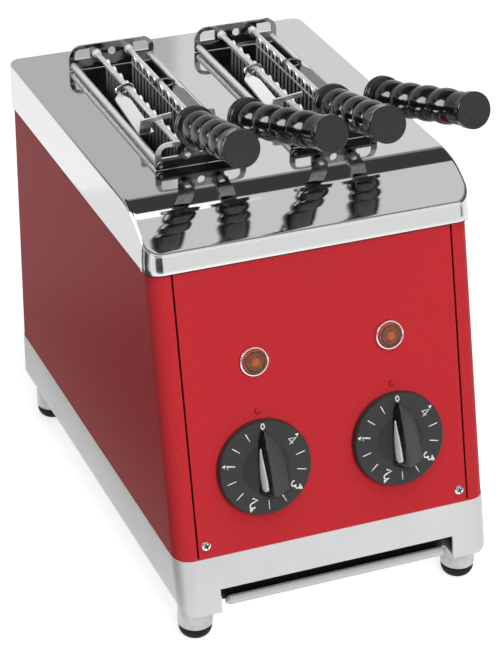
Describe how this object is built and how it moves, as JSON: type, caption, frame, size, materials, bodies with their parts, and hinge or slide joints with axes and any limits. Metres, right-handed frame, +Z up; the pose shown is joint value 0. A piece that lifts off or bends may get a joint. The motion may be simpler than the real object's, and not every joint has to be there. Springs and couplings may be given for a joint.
{
  "type": "toaster",
  "caption": "Red two-slot toaster with a polished steel cover, black-handled sandwich tongs, timer knobs, pilot lamps and a slide-out crumb tray.",
  "frame": {"origin": "on the plane the feet rest on, below the middle of the overall box, grips and gland included", "axes": "+Z up, +X to the right seen from the front, +Y to the back; the knobs and the tray face -Y"},
  "size_m": [0.2032, 0.3321, 0.334],
  "materials": {
    "red_paint": "gloss",
    "polished_steel": "polished",
    "satin_aluminium": "satin",
    "steel": "satin",
    "heating_ribbon": "matte",
    "heater_board": "matte",
    "rubber": "matte",
    "cream_plastic": "matte",
    "amber_lens": "gloss",
    "black_plastic": "matte",
    "charcoal_plastic": "matte",
    "gloss_black": "gloss"
  },
  "bodies": {
    "body": {"base_frame": "satin_aluminium", "feet": "steel", "foot_pads": "rubber", "shell_left": "red_paint", "shell_right": "red_paint", "front_panel": "red_paint", "rear_panel": "red_paint", "inner_plate": "steel", "panel_screws": "polished_steel", "top_cover": "polished_steel", "slot_trim_left": "polished_steel", "slot_trim_right": "polished_steel", "chamber_left": "steel", "chamber_right": "steel", "heater_left": "heater_board", "heater_right": "heater_board", "ribbons_left": "heating_ribbon", "ribbons_right": "heating_ribbon", "guard_left": "steel", "guard_right": "steel", "cross_rails": "steel", "timer_left": "cream_plastic", "timer_right": "cream_plastic", "lamp_bezels": "polished_steel", "lamp_lenses": "amber_lens", "lamp_bodies": "cream_plastic", "tray_guides": "steel", "cable_gland": "black_plastic", "terminal_block": "cream_plastic"},
    "tray": {"crumb_tray": "satin_aluminium"},
    "knob_l": {"knob_left": "charcoal_plastic", "knob_mark_left": "polished_steel", "shaft_left": "steel"},
    "knob_r": {"knob_right": "charcoal_plastic", "knob_mark_right": "polished_steel", "shaft_right": "steel"},
    "tong_left": {"tong_frame_left": "steel"},
    "tong_right": {"tong_frame_right": "steel"},
    "jaw_ll": {"grid_ll": "steel", "lever_ll": "steel", "neck_ll": "steel", "grip_ll": "gloss_black", "cap_ll": "charcoal_plastic"},
    "jaw_lr": {"grid_lr": "steel", "lever_lr": "steel", "neck_lr": "steel", "grip_lr": "gloss_black", "cap_lr": "charcoal_plastic"},
    "jaw_rl": {"grid_rl": "steel", "lever_rl": "steel", "neck_rl": "steel", "grip_rl": "gloss_black", "cap_rl": "charcoal_plastic"},
    "jaw_rr": {"grid_rr": "steel", "lever_rr": "steel", "neck_rr": "steel", "grip_rr": "gloss_black", "cap_rr": "charcoal_plastic"}
  },
  "joints": [
    {"name": "knob_turn_l", "type": "hinge", "parent": "body", "child": "knob_l", "pos_m": [-0.0428, -0.13419, 0.1055], "axis": [0, 0.9724, -0.2334], "range_deg": [0, 308]},
    {"name": "knob_turn_r", "type": "hinge", "parent": "body", "child": "knob_r", "pos_m": [0.0428, -0.13419, 0.1055], "axis": [0, 0.9724, -0.2334], "range_deg": [0, 308]},
    {"name": "tray_slide", "type": "slide", "parent": "body", "child": "tray", "axis": [0, -1, 0], "range_m": [0, 0.255]},
    {"name": "tong_left_lift", "type": "slide", "parent": "body", "child": "tong_left", "axis": [0, 0, 1], "range_m": [0, 0.16]},
    {"name": "jaw_ll_swing", "type": "hinge", "parent": "tong_left", "child": "jaw_ll", "pos_m": [-0.053, 0.043, 0.2663], "axis": [0, 1, 0], "range_deg": [-3, 4]},
    {"name": "jaw_lr_swing", "type": "hinge", "parent": "tong_left", "child": "jaw_lr", "pos_m": [-0.0318, 0.043, 0.2663], "axis": [0, -1, 0], "range_deg": [-3, 4]},
    {"name": "tong_right_lift", "type": "slide", "parent": "body", "child": "tong_right", "axis": [0, 0, 1], "range_m": [0, 0.16]},
    {"name": "jaw_rl_swing", "type": "hinge", "parent": "tong_right", "child": "jaw_rl", "pos_m": [0.0318, 0.043, 0.2663], "axis": [0, 1, 0], "range_deg": [-3, 4]},
    {"name": "jaw_rr_swing", "type": "hinge", "parent": "tong_right", "child": "jaw_rr", "pos_m": [0.053, 0.043, 0.2663], "axis": [0, -1, 0], "range_deg": [-3, 4]}
  ],
  "couplings": [
    {"joint": "jaw_lr_swing", "follows": "jaw_ll_swing", "ratio": 1},
    {"joint": "jaw_rr_swing", "follows": "jaw_rl_swing", "ratio": 1}
  ]
}
